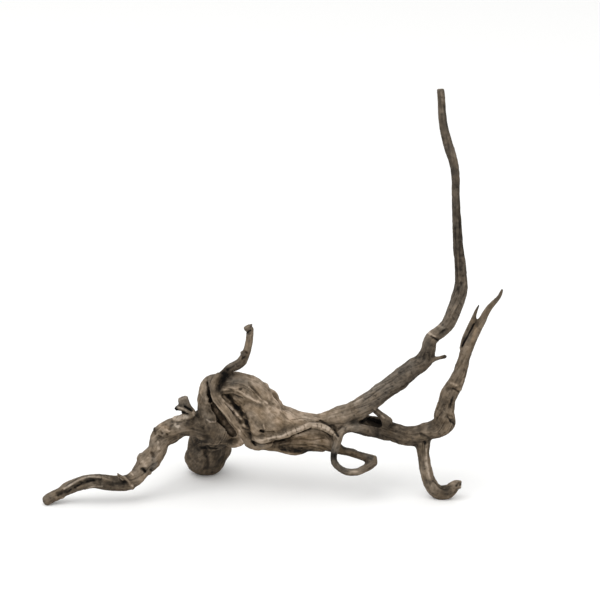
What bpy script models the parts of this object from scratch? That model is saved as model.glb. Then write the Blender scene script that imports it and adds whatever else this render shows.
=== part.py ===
"""Aquarium driftwood: a dried, twisted root with a swollen trunk, two reaching arms and a looped rootlet.

It grew as one piece, so it is one solid. Each limb is a row of stations, written as the front view shows them: millimetres
right of the middle, millimetres above the floor line, millimetres behind the front foot, and half the limb's width there.
The limbs are lofted, fused into one skin, hollowed, and trimmed flat where the wood stands on the floor.
"""

import math
from dataclasses import dataclass

import bmesh
import bpy
import numpy as np
from mathutils import Vector, noise
from mathutils.bvhtree import BVHTree
from mathutils.kdtree import KDTree

MM = 0.001

# The front view that the stations are written in. One millimetre in it is one millimetre at the floor line.
EYE_TILT = math.radians(20)
EYE_DISTANCE = 2.0
EYE_LEVEL = 0.207
FORWARD = Vector((0, math.cos(EYE_TILT), -math.sin(EYE_TILT)))
UPWARD = Vector((0, math.sin(EYE_TILT), math.cos(EYE_TILT)))
EYE = UPWARD * EYE_LEVEL - FORWARD * EYE_DISTANCE
# The place on the floor, right of the middle and behind the front foot, that the middle of the wood stands over
MIDDLE = Vector((-30.6 * MM, 53.7 * MM, 0))

# The skin
RING_SPACING = 2.0 * MM
RING_SIDES = 28
VOXEL = 1.2 * MM
SMOOTH_FACTOR = 0.5
SMOOTH_TURNS = 4
SKIN_TRIANGLES = 11200
# Degrees round from the last full ring at which the rings of a rounded end stand
END_RINGS = (22, 45, 66, 84)
# How far apart a mark's presses lie in the front view, in millimetres
PRESS_STEP = 0.8
# Points this near the floor are brought onto it before the wood is trimmed there
FLOOR_SNAP = 0.45 * MM

# The weathered surface: lumps as a share of a limb's radius, and their length as a multiple of it
LUMP_SHARE = 0.07
LUMP_LENGTH = 1.3
THINNEST_LUMPY = 2 * MM

WOOD_COLOUR = (0.165, 0.128, 0.092, 1.0)
WOOD_ROUGHNESS = 0.85


@dataclass
class Limb:
    """A run of wood between stations (across, up, behind, half width[, half depth])."""

    stations: list
    flutes: int = 3
    flute_depth: float = 0.06
    turns_per_metre: float = 3.0
    start: float = 0.4
    end: float = 0.8


LIMBS = {
    "trunk": Limb(
        [
            (-76, 114, 36, 12, 10),
            (-62, 109, 36, 16.5, 14),
            (-50, 101, 36, 25, 20),
            (-40, 94, 36, 28, 22),
            (-28, 87, 36, 22, 22),
            (-14, 84, 37, 16, 19),
            (2, 82, 38, 13, 17),
            (20, 81, 38, 12, 14),
            (38, 87, 39, 12.5, 12.5),
            (55, 95.5, 40, 11, 11),
        ],
        flutes=5,
        flute_depth=0.03,
        turns_per_metre=2.0,
    ),
    "whip": Limb(
        [
            (34, 85, 39, 12.5),
            (45, 90, 39, 12.2),
            (56, 96, 40, 10.8),
            (71, 106.5, 40, 10.3),
            (85, 117, 41, 9.7),
            (99, 126.5, 42, 10),
            (113, 138, 43, 9.5),
            (124, 146, 44, 8.8),
            (128.5, 156, 44, 7.6),
            (130, 165, 44, 7),
            (134.5, 171.5, 44, 6.8),
            (141, 175.5, 44, 6.6),
            (148.5, 183.5, 45, 7),
            (154, 196, 46, 7.2),
            (158, 207, 47, 7.2),
            (161.5, 219, 48, 6.8),
            (161.3, 232, 49, 6.2),
            (160.4, 245, 50, 5.8),
            (158.7, 257, 51, 5.3),
            (157.2, 282, 53, 4.7),
            (156, 312, 55, 4.2),
            (156, 327, 56, 4.2),
            (155.5, 337, 57, 4.5),
            (153.5, 347, 57, 4.7),
            (150.3, 357, 58, 4.9),
            (147.2, 367, 58, 4.8),
            (144.5, 377, 58, 4.5),
            (142.8, 388, 59, 4.3),
            (142, 402, 59, 4.1),
            (141, 418, 60, 3.9),
        ],
        flutes=3,
        flute_depth=0.05,
        end=0.12,
    ),
    "lower_arm": Limb(
        [
            (45, 84, 50, 10),
            (58, 84, 52, 10.5),
            (70, 81, 50, 10.5),
            (80, 79, 46, 10.5),
            (92, 75.5, 42, 10),
            (105, 71.5, 37, 9.7),
            (117, 71, 33, 10),
            (128, 75.5, 30, 9),
            (138, 78, 28, 10),
            (145, 84, 27, 11),
            (145, 95, 26, 10.2),
            (147.5, 107, 25, 8.6),
            (150, 114, 24, 9),
            (154, 121, 23, 8.3),
            (158, 129, 22, 7.3),
            (161.5, 139, 20, 6.6),
            (164.5, 149, 19, 6),
            (168, 159, 18, 6.2),
            (172.5, 169, 18, 5.7),
            (176, 175, 17, 5.1),
            (179.3, 180.5, 17, 4.5),
            (183.2, 187.5, 16, 4),
            (187, 195, 15, 3.5),
            (191, 201, 14, 3.1),
            (196, 206, 13, 2.7),
            (200, 211, 12, 2.3),
            (202.5, 217, 12, 1.7),
        ],
        end=1.2,
    ),
    "fork_prong": Limb(
        [
            (162.5, 158, 19, 3.2),
            (166.5, 170, 19, 3.6),
            (170.3, 180, 18, 3.1),
            (173.3, 187, 17, 2.7),
            (175.7, 194, 16, 2.1),
            (178.8, 201, 15, 1.4),
        ],
        end=1.6,
    ),
    "foot": Limb(
        [
            (122, 72, 31, 8.5),
            (123, 61, 30, 7.4),
            (123.5, 52, 28.5, 6.2),
            (125, 44, 27, 6.2),
            (127, 35, 24.5, 6.5),
            (129.5, 26, 23, 6.7),
            (134, 18.5, 20.5, 7),
            (141, 14, 20, 7.2),
            (148, 15, 20, 7.2),
            (153, 19, 18, 6.3),
            (157, 22, 16, 4.9),
            (161.5, 22, 14, 4.4),
        ],
        end=0.15,
    ),
    "twig": Limb(
        [
            (127, 144, 42, 4),
            (133, 147, 38, 2.9),
            (138, 148.5, 36, 2.3),
            (142.5, 149.5, 35, 2.2),
            (146, 150.5, 34, 2.5),
        ],
        end=0.5,
    ),
    "dome": Limb(
        [
            (-76, 119, 35, 10, 12),
            (-68, 121, 35, 13.5, 14),
            (-60, 119, 35, 15, 16),
            (-49, 115, 36, 15.5, 17),
            (-39, 107, 37, 13.5, 18),
        ],
    ),
    "hub": Limb(
        [
            (-90.5, 124, 41, 7),
            (-91.5, 119, 43, 9),
            (-90, 110, 46, 12),
            (-87.5, 100, 50, 16),
            (-84, 90, 54, 20),
            (-83, 80, 57, 20),
            (-87, 70, 62, 16),
        ],
        flutes=4,
        flute_depth=0.05,
        start=0.8,
    ),
    "hub_crest": Limb(
        [
            (-92.5, 121, 42, 7),
            (-87, 125.3, 40, 7.2),
            (-80, 125.8, 37, 7),
            (-74, 124, 35, 6.3),
        ],
    ),
    "heel": Limb(
        [
            (-88, 80, 60, 15),
            (-91, 70, 70, 17.5),
            (-92.5, 61, 78, 20.8),
            (-93.5, 50.5, 84, 21.3),
        ],
        flutes=3,
        flute_depth=0.05,
        turns_per_metre=6,
        end=0.95,
    ),
    "web": Limb(
        [
            (-90, 88, 62, 14),
            (-78, 84, 60, 15),
            (-64, 84, 54, 15),
            (-50, 88, 46, 17),
        ],
    ),
    "left_arm": Limb(
        [
            (-97, 82, 52, 15),
            (-108, 82, 48, 12.5),
            (-117, 82, 44.5, 11.3),
            (-129, 76, 40.5, 11.8),
            (-139, 68, 35, 11),
            (-142.5, 57, 29.5, 9.8),
            (-149, 48, 25, 10.6),
            (-157, 38.5, 20.5, 8.8),
            (-163, 30, 15.5, 8.4),
            (-172, 24, 12.5, 8),
            (-183, 23.5, 10, 7.6),
            (-195, 24.5, 9, 7.6),
            (-207, 25.5, 9, 7.6),
            (-220.5, 23, 8.5, 6.8),
            (-231, 19, 9.5, 6.4),
            (-240, 13.5, 9.5, 6.1),
            (-250, 8.5, 7.5, 5.8),
            (-254, 5.5, 5.5, 5.4),
        ],
        flutes=4,
        flute_depth=0.07,
        turns_per_metre=6,
        end=0.5,
    ),
    "rim": Limb(
        [
            (-80, 132, 28, 4.5),
            (-84.5, 124, 25, 4.8),
            (-85, 115, 23, 4.7),
            (-82, 107, 21, 4.5),
            (-77, 100, 19, 4.2),
            (-71, 92, 18, 4.2),
            (-65, 84, 18, 4.2),
            (-59, 76, 19, 4.2),
            (-54, 69, 21, 4.5),
            (-49, 63, 23, 5.2),
            (-42, 61, 23, 5),
            (-35, 62, 23, 4.4),
            (-29, 64, 24, 3.6),
        ],
    ),
    "sprig": Limb(
        [
            (-84, 118, 30, 5),
            (-79, 126, 32, 5),
            (-74.5, 133.5, 32, 4.8),
            (-69, 139, 31, 4.9),
            (-63, 141.5, 30, 5),
            (-58, 145.5, 29, 5),
            (-55, 151, 28, 4.7),
            (-52.5, 157, 27, 4.1),
            (-51, 164, 26, 3.9),
            (-50, 172, 25, 3.9),
            (-49.5, 179, 24, 3.6),
        ],
        end=0.3,
    ),
    "sprig_tip": Limb(
        [
            (-48.8, 181.5, 24, 2.4),
            (-52, 179.5, 23, 3),
            (-55, 177.5, 22, 2.9),
        ],
        end=0.4,
    ),
    "braid": Limb(
        [
            (-52, 72, 21, 2.4),
            (-45, 67.5, 17, 2.8),
            (-39, 66, 15, 3.1),
            (-33, 67, 14, 3.2),
            (-25, 69, 14, 3),
            (-17, 70.8, 14, 2.9),
            (-10, 73.8, 15, 2.9),
            (-2, 76.8, 17, 2.9),
            (5, 79.6, 19, 3),
            (11, 81.5, 21, 3.2),
            (18, 81, 22, 3.4),
            (25, 79, 21, 3.5),
            (31, 75.7, 19, 3.5),
            (36, 71, 17, 3.7),
            (38, 65, 16, 4.1),
        ],
        flutes=4,
        flute_depth=0.08,
        turns_per_metre=25,
    ),
    "lower_root": Limb(
        [
            (-44, 66, 38, 10),
            (-32, 64, 38, 8),
            (-18, 62, 37, 8),
            (-5, 62, 36, 10.3),
            (6, 65.5, 35, 10.3),
            (18, 66.5, 34, 11),
            (30, 64, 32, 9.4),
            (40, 57, 29, 5),
            (52, 54, 25, 4.3),
            (62, 50.5, 22, 4.2),
            (70, 48, 20, 4.6),
            (75, 46.5, 18, 5),
        ],
        end=0.5,
    ),
    "loop": Limb(
        [
            (74.5, 46, 18, 4.8),
            (71, 42, 16, 4.6),
            (65, 38.5, 14, 4.1),
            (57.5, 35, 12, 4.1),
            (50, 34.5, 10, 3.8),
            (43, 36.5, 9, 3.6),
            (37, 41, 8, 3.6),
            (34, 46.5, 9, 3.6),
            (34, 52, 11, 3.7),
            (36, 59, 13, 4.2),
            (38, 66, 15, 4.3),
            (41, 73, 18, 3.8),
            (45, 76.7, 22, 4),
            (51, 78.5, 26, 4.4),
            (58, 79, 30, 4.6),
            (65, 77.5, 34, 4.5),
            (74, 75, 39, 5),
        ],
    ),
    "nub": Limb(
        [
            (-74, 68, 54, 6),
            (-67, 63, 50, 4.6),
            (-61, 63.5, 46, 3.8),
            (-56, 68, 42, 4),
        ],
    ),
    "stub": Limb(
        [
            (-110, 92, 42, 6.5),
            (-113.5, 99, 41, 5.2),
            (-116, 105, 40.5, 5),
            (-117, 109, 40, 5.2),
        ],
        flutes=2,
        flute_depth=0.16,
        end=0.15,
    ),
    "bark_shelf": Limb(
        [
            (-106, 93.5, 40, 3),
            (-112, 95.5, 37, 2.4, 5),
            (-118, 98, 35.5, 2.4, 6),
            (-124, 98.8, 36, 2.6, 5),
        ],
        end=0.5,
    ),
    "thorn": Limb(
        [
            (-141, 75, 35.5, 4),
            (-145.5, 78, 34.5, 2.8),
        ],
        end=0.6,
    ),
    "knuckle": Limb(
        [
            (-154, 46, 26, 8),
            (-159.5, 50, 25.5, 4.5),
        ],
        end=0.7,
    ),
    "spur": Limb(
        [
            (-145, 50, 27.5, 8.5),
            (-146, 43, 24.5, 6.3),
        ],
        end=0.6,
    ),
    "barb": Limb(
        [
            (-173, 26, 7.5, 3.5),
            (-178, 29.5, 6, 2.4),
            (-182.5, 33.5, 5, 1.3),
        ],
        end=1.5,
    ),
    "elbow_knob": Limb(
        [
            (146, 88, 26, 8),
            (151.5, 83, 25, 5.4),
        ],
        end=0.8,
    ),
    "broken_branch": Limb(
        [
            (68, 101, 38, 3),
            (74, 97.5, 41, 3.2),
            (78, 94, 42, 3.6),
            (82, 91, 41, 3.8),
            (89, 84.5, 38, 5),
        ],
        start=0.3,
    ),
}


# The deep hollows, cut out of the fused wood
HOLLOWS = [
    Limb(
        [
            (-89, 120, 33, 2.2),
            (-88, 108, 38, 2.8),
            (-82, 98, 41, 6),
            (-75, 88, 43, 8),
            (-70, 80, 45, 8),
            (-67, 76, 46, 6.5),
        ],
        start=1,
        end=1,
    ),
    Limb(
        [
            (60, 84.5, 36, 3.5),
            (67, 87.5, 40, 5.5),
            (74, 86, 42, 6),
            (80, 82.5, 41, 4),
        ],
        start=1,
        end=1,
    ),
    Limb(
        [
            (-97, 59, 44, 3.5),
            (-92, 58, 48, 4),
            (-85, 58, 50, 3.5),
        ],
        start=1,
        end=1,
    ),
    Limb(
        [
            (-121, 95, 30, 2.2),
            (-116, 94.5, 34, 2.6),
        ],
        start=1,
        end=1,
    ),
]

# Ridges (raised) and grooves (pressed in), as rows of across, up and half width
MARKS = [
    # the dome's raised lower lip and the worn hollow under it
    (1.6, [(-78, 117, 3), (-72, 119.5, 3.2), (-64, 119, 3.2), (-55, 114, 3.2), (-47, 107.5, 3), (-42, 104, 2.5)]),
    (-2.2, [(-76, 111, 4), (-68, 110.5, 4.5), (-60, 108, 4.5), (-54, 104, 4)]),
    (-3.2, [(-74, 110, 4.5), (-67, 103, 6.5), (-60.5, 96, 7), (-55, 88, 6.5), (-52.5, 81, 4)]),
    (1.6, [(-77, 106.5, 2.5), (-72, 101.5, 2.8), (-67, 97, 2.8), (-61, 90.5, 2.6)]),
    # two slots beside the dome
    (-2, [(-50, 123, 2.5), (-46, 116, 2.8), (-43, 111, 2.5)]),
    (-1.8, [(-47, 118.5, 2.3), (-41, 111, 2.5), (-36, 106, 2.2)]),
    (-1.5, [(-34, 107, 3), (-27, 102, 3), (-20, 99, 2.5)]),
    # the pit over the twisted ridge, the line above the ridge and the dark seam under it
    (-3, [(-38.5, 75.5, 3), (-36, 74.5, 3)]),
    (-1.4, [(-33, 73.5, 2.2), (-24, 74, 2.2), (-17, 74.5, 2.2)]),
    (-3, [(-28, 65.5, 3), (-18, 66.5, 3), (-10, 68.5, 3.2), (0, 73.5, 3.2), (10, 78, 3.5)]),
    (-2.2, [(18, 85.5, 3), (27, 84.5, 3.2), (34, 79.5, 3.5), (38, 73, 3)]),
    (-2, [(-51, 79, 3), (-49, 70, 3), (-44, 62.5, 2.5)]),
    (1.5, [(-20, 69.5, 2.2), (-17, 70, 2.2)]),
    (1.5, [(-9, 74, 2.2), (-6, 75.5, 2.2)]),
    # the crease between the hub and the trunk's rim
    (-3, [(-93, 124, 3), (-92, 115, 3.5), (-88, 102, 4), (-87, 95, 4)]),
    (-1.5, [(-89, 86, 4), (-83, 85, 4)]),
    (1.2, [(-103, 112, 3), (-100, 100, 3)]),
    # the heel's upright crease and its lip
    (-1.5, [(-95, 58.5, 4), (-92.5, 46, 5), (-94, 38, 4)]),
    (-1.8, [(-99, 58.5, 3), (-92, 59.5, 3.5), (-84, 58.5, 3)]),
    # the low arm: its long crack, worn end, bark joint, scales and pit
    (-2, [(-200, 27.5, 3), (-211, 26.5, 3.5), (-220, 23, 3.5), (-229, 18.5, 3), (-242, 12.5, 3)]),
    (-2, [(-199, 26, 4), (-186, 23, 5), (-176, 24, 4)]),
    (1.5, [(-176, 30, 3), (-171, 25, 3), (-167, 18, 3)]),
    (-3, [(-157, 37.5, 3), (-155, 36, 3)]),
    (-1.5, [(-129, 92, 3), (-127, 84, 3), (-130, 79, 3)]),
    (1.4, [(-140, 80, 5), (-136, 79, 5)]),
    (-1.4, [(-141, 75, 2.5), (-138, 73, 2.5)]),
    (-1.6, [(-142, 69, 3), (-137, 68, 3)]),
    (1.2, [(-145, 62, 4), (-143, 58, 4)]),
    (-1.8, [(-148, 54, 3), (-146, 51, 3)]),
    (1.3, [(-159, 46, 3.5), (-156, 44, 3.5)]),
    # the slit between the prongs, the knots of the forked branch and the hook's broken face
    (-2, [(162, 160, 2.2), (165, 170, 2.2), (168.5, 180, 2)]),
    (-1.6, [(147, 117, 3), (155, 118.5, 3), (161, 120, 3)]),
    (-1.5, [(152, 106, 2.5), (150, 99, 2.5)]),
    (-2, [(147, 92, 2.6), (151, 88, 3), (155, 84, 2.6)]),
    (-2.5, [(161, 22, 3.2), (163, 22, 3.2)]),
    (-1.5, [(122, 72, 3), (130, 68, 3)]),
    # the step where the whip was once broken and healed
    (-2.2, [(126, 174, 2.4), (131, 171, 2.4), (138, 166.5, 2.2)]),
    # knots on the whip
    (1.2, [(142, 178, 3.5), (145, 179, 3.5)]),
    (-1.2, [(160, 224, 3), (158, 214, 3)]),
]


def seen_at(across, up, behind):
    """The point so far behind the front foot that the front view shows at this place."""
    sight = Vector((across * MM, 0, 0)) + UPWARD * up * MM - EYE
    return EYE + sight * ((behind * MM - EYE.y) / sight.y) - MIDDLE


def along(stations):
    """A smooth run through the stations: rows of x, y, z, half width and half depth, in metres."""
    rows = []
    for across, up, behind, wide, *deep in stations:
        rows.append((*seen_at(across, up, behind), wide * MM, (deep[0] if deep else wide) * MM))
    rows = np.array(rows)
    at = np.concatenate([[0], np.cumsum(np.linalg.norm(np.diff(rows[:, :3], axis=0), axis=1))])
    slopes = np.gradient(rows, at, axis=0)
    count = max(3, round(at[-1] / RING_SPACING) + 1)
    places = np.linspace(0, at[-1], count)
    left = np.clip(np.searchsorted(at, places, side="right") - 1, 0, len(at) - 2)
    gap = (at[left + 1] - at[left])[:, None]
    t = ((places - at[left]) / gap[:, 0])[:, None]
    return (
        rows[left] * (2 * t**3 - 3 * t**2 + 1)
        + slopes[left] * gap * (t**3 - 2 * t**2 + t)
        + rows[left + 1] * (3 * t**2 - 2 * t**3)
        + slopes[left + 1] * gap * (t**3 - t**2)
    )


def rounded_ends(rows, start, end):
    """The run with rings added that draw each end in over the given share of its radius."""
    head = rows[0] - rows[1]
    tail = rows[-1] - rows[-2]
    head[3:] = tail[3:] = 0
    head /= np.linalg.norm(head)
    tail /= np.linalg.norm(tail)

    def drawn_in(row, way, share):
        made = []
        for angle in np.radians(END_RINGS):
            ring = row + way * row[3] * share * math.sin(angle)
            ring[3:] = row[3:] * math.cos(angle)
            made.append(ring)
        return made

    return np.array(drawn_in(rows[0], head, start)[::-1] + list(rows) + drawn_in(rows[-1], tail, end))


def loft(limb):
    """The limb as a closed mesh of rings, fluted along a slow twist and lumpy."""
    rows = rounded_ends(along(limb.stations), limb.start, limb.end)
    tangents = np.gradient(rows[:, :3], axis=0)
    length = 0.0
    mesh = bmesh.new()
    rings = []
    for index, row in enumerate(rows):
        centre = Vector(row[:3])
        if index:
            length += (centre - Vector(rows[index - 1][:3])).length
        tangent = Vector(tangents[index]).normalized()
        side = tangent.cross(FORWARD).normalized()
        back = side.cross(tangent)
        ring = []
        for step in range(RING_SIDES):
            angle = 2 * math.pi * step / RING_SIDES
            twist = 2 * math.pi * limb.turns_per_metre * length
            swell = 1 + limb.flute_depth * math.cos(limb.flutes * (angle + twist))
            spoke = side * row[3] * math.cos(angle) + back * row[4] * math.sin(angle)
            size = max(row[3], THINNEST_LUMPY)
            swell += LUMP_SHARE * noise.noise((centre + spoke) / (LUMP_LENGTH * size))
            ring.append(mesh.verts.new(centre + spoke * swell))
        rings.append(ring)
    for lower, upper in zip(rings, rings[1:]):
        for step in range(RING_SIDES):
            after = (step + 1) % RING_SIDES
            mesh.faces.new((lower[step], lower[after], upper[after], upper[step]))
    mesh.faces.new(rings[0][::-1])
    mesh.faces.new(rings[-1])
    bmesh.ops.recalc_face_normals(mesh, faces=mesh.faces)
    return mesh


def joined(limbs):
    """One object holding the lofts of these limbs, still overlapping."""
    data = bpy.data.meshes.new("driftwood")
    whole = bmesh.new()
    for limb in limbs:
        made = loft(limb)
        made.to_mesh(data)
        made.free()
        whole.from_mesh(data)
    whole.to_mesh(data)
    whole.free()
    obj = bpy.data.objects.new("driftwood", data)
    bpy.context.scene.collection.objects.link(obj)
    return obj


def applied(obj, kind, **settings):
    """Add one modifier with these settings and apply it."""
    modifier = obj.modifiers.new(kind.lower(), kind)
    for name, value in settings.items():
        setattr(modifier, name, value)
    bpy.ops.object.select_all(action="DESELECT")
    bpy.context.view_layer.objects.active = obj
    obj.select_set(True)
    bpy.ops.object.modifier_apply(modifier=modifier.name)


def press(obj, marks):
    """Raise ridges and press grooves into the face that the front view shows."""
    mesh = bmesh.new()
    mesh.from_mesh(obj.data)
    mesh.normal_update()
    tree = BVHTree.FromBMesh(mesh)
    near = KDTree(len(mesh.verts))
    for index, vertex in enumerate(mesh.verts):
        near.insert(vertex.co, index)
    near.balance()
    mesh.verts.ensure_lookup_table()
    moves = {}
    eye = EYE - MIDDLE
    for rise, path in marks:
        pulls = {}
        for (x0, y0, w0), (x1, y1, w1) in zip(path, path[1:]):
            steps = max(1, round(math.hypot(x1 - x0, y1 - y0) / PRESS_STEP))
            for step in range(steps + 1):
                t = step / steps
                way = (seen_at(x0 + (x1 - x0) * t, y0 + (y1 - y0) * t, 0) - eye).normalized()
                hit = tree.ray_cast(eye, way)[0]
                width = (w0 + (w1 - w0) * t) * MM
                if hit is None:
                    continue
                for spot, index, distance in near.find_range(hit, width):
                    pull = (1 + math.cos(math.pi * distance / width)) / 2
                    pulls[index] = max(pulls.get(index, 0), pull)
        for index, pull in pulls.items():
            moves[index] = moves.get(index, 0) + rise * MM * pull
    for index, move in moves.items():
        vertex = mesh.verts[index]
        vertex.co += vertex.normal * move
    mesh.to_mesh(obj.data)
    mesh.free()


def stand(obj):
    """Trim the wood flat where it meets the floor and centre it over the origin."""
    mesh = bmesh.new()
    mesh.from_mesh(obj.data)
    for vertex in mesh.verts:
        if abs(vertex.co.z) < FLOOR_SNAP:
            vertex.co.z = 0
    everything = mesh.verts[:] + mesh.edges[:] + mesh.faces[:]
    bmesh.ops.bisect_plane(mesh, geom=everything, dist=1e-7, plane_co=(0, 0, 0), plane_no=(0, 0, 1), clear_inner=True)
    bmesh.ops.holes_fill(mesh, edges=[edge for edge in mesh.edges if edge.is_boundary], sides=0)
    bmesh.ops.triangulate(mesh, faces=[face for face in mesh.faces if len(face.verts) > 4])
    low = Vector([min(vertex.co[axis] for vertex in mesh.verts) for axis in range(3)])
    high = Vector([max(vertex.co[axis] for vertex in mesh.verts) for axis in range(3)])
    middle = (low + high) / 2
    bmesh.ops.translate(mesh, verts=mesh.verts, vec=(-middle.x, -middle.y, -low.z))
    mesh.to_mesh(obj.data)
    mesh.free()


def main():
    for obj in list(bpy.data.objects):
        bpy.data.objects.remove(obj)
    wood = joined(LIMBS.values())
    applied(wood, "REMESH", mode="VOXEL", voxel_size=VOXEL)
    hollow = joined(HOLLOWS)
    applied(wood, "BOOLEAN", operation="DIFFERENCE", solver="EXACT", object=hollow)
    bpy.data.objects.remove(hollow)
    applied(wood, "REMESH", mode="VOXEL", voxel_size=VOXEL)
    press(wood, MARKS)
    applied(wood, "SMOOTH", factor=SMOOTH_FACTOR, iterations=SMOOTH_TURNS)
    applied(wood, "DECIMATE", ratio=SKIN_TRIANGLES / (2 * len(wood.data.polygons)))
    stand(wood)
    wood.data.name = "driftwood"
    for face in wood.data.polygons:
        face.use_smooth = True
    surface = bpy.data.materials.new("weathered wood")
    surface.use_nodes = True
    shader = surface.node_tree.nodes["Principled BSDF"]
    shader.inputs["Base Color"].default_value = WOOD_COLOUR
    shader.inputs["Roughness"].default_value = WOOD_ROUGHNESS
    surface.diffuse_color = WOOD_COLOUR
    wood.data.materials.append(surface)


main()
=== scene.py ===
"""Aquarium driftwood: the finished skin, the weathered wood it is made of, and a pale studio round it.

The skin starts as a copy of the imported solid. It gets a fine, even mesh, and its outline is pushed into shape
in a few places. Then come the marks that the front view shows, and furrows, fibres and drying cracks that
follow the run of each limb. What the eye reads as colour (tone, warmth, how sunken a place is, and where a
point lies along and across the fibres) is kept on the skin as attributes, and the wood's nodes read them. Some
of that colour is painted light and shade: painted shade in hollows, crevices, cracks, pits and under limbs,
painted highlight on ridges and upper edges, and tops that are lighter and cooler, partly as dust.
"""

import logging
import math
from dataclasses import dataclass, field
from enum import Enum

import bmesh
import bpy
import numpy as np
from bpy.types import Material, Node, NodeSocket, NodeTree, Object
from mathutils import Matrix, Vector
from mathutils.bvhtree import BVHTree
from mathutils.kdtree import KDTree


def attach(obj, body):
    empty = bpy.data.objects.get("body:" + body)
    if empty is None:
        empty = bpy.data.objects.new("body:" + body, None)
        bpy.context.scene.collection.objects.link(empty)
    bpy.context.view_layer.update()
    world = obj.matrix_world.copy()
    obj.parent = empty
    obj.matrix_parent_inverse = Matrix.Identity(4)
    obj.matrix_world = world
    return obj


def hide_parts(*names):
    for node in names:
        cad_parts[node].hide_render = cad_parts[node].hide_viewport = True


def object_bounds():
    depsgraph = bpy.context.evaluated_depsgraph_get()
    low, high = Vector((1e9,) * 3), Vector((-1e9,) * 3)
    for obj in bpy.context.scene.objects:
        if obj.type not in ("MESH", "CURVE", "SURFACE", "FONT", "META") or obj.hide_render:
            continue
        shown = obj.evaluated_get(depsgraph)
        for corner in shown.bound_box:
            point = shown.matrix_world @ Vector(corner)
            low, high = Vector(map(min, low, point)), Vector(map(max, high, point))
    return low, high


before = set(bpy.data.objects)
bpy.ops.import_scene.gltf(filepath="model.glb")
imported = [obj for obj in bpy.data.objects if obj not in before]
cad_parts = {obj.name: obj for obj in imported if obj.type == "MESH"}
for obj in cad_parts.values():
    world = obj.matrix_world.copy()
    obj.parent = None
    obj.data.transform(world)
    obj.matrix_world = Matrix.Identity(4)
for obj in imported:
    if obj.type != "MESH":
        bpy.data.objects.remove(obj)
CAD_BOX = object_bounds()

MM = 0.001
log = logging.getLogger("driftwood")
Triple = tuple[float, float, float]

# The front view looks down at the wood by the tilt. One millimetre in it is one millimetre at the floor line.
EYE_TILT = math.radians(20)
EYE_DISTANCE = 2.0
EYE_LEVEL = 0.207
FORWARD = Vector((0, math.cos(EYE_TILT), -math.sin(EYE_TILT)))
UPWARD = Vector((0, math.sin(EYE_TILT), math.cos(EYE_TILT)))
# From the front view's own middle to the middle of the wood's box
MIDDLE = Vector((-30.6 * MM, 53.7 * MM, 0))
EYE = UPWARD * EYE_LEVEL - FORWARD * EYE_DISTANCE - MIDDLE
VIEW_WIDTH = 0.6
SENSOR_WIDTH = 36.0


def linear(code: str) -> tuple[float, float, float, float]:
    """Turn an sRGB hex colour into the linear colour that a shader takes.

    Args:
        code: six hexadecimal digits with or without a leading hash.

    Returns:
        Linear red, green and blue, and an alpha of one.
    """
    digits = code.lstrip("#")
    # The numbers of the sRGB curve
    parts = [int(digits[at : at + 2], 16) / 255 for at in (0, 2, 4)]
    bent = [part / 12.92 if part <= 0.04045 else ((part + 0.055) / 1.055) ** 2.4 for part in parts]
    return bent[0], bent[1], bent[2], 1.0


def seen_at(across: float, up: float, behind: float) -> Vector:
    """Find the point that the front view shows at a place.

    Args:
        across: millimetres right of the middle of the front view.
        up: millimetres above the floor line.
        behind: millimetres behind the front foot.

    Returns:
        The point in the frame, in metres.
    """
    eye = EYE + MIDDLE
    sight = Vector((across * MM, 0, 0)) + UPWARD * up * MM - eye
    return eye + sight * ((behind * MM - eye.y) / sight.y) - MIDDLE


@dataclass(frozen=True)
class Route:
    """The middle line of a limb, which its fibres follow.

    Rows are across, up, behind and half width in millimetres of the front view, and tone, from -1 (nearly
    black) over 0 (middle brown) to 1 (bare and pale). Warmth goes from -1 (olive grey) to 1 (pinkish tan).
    Roughness is the share of their full depth that furrows and pits have on the limb.
    """

    rows: tuple[tuple[float, ...], ...]
    warmth: float
    roughness: float


def limb(*rows: tuple[float, ...], warmth: float = 0.0, roughness: float = 0.7) -> Route:
    """Make a route from its rows, its warmth and its roughness."""
    return Route(rows, warmth, roughness)


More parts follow.
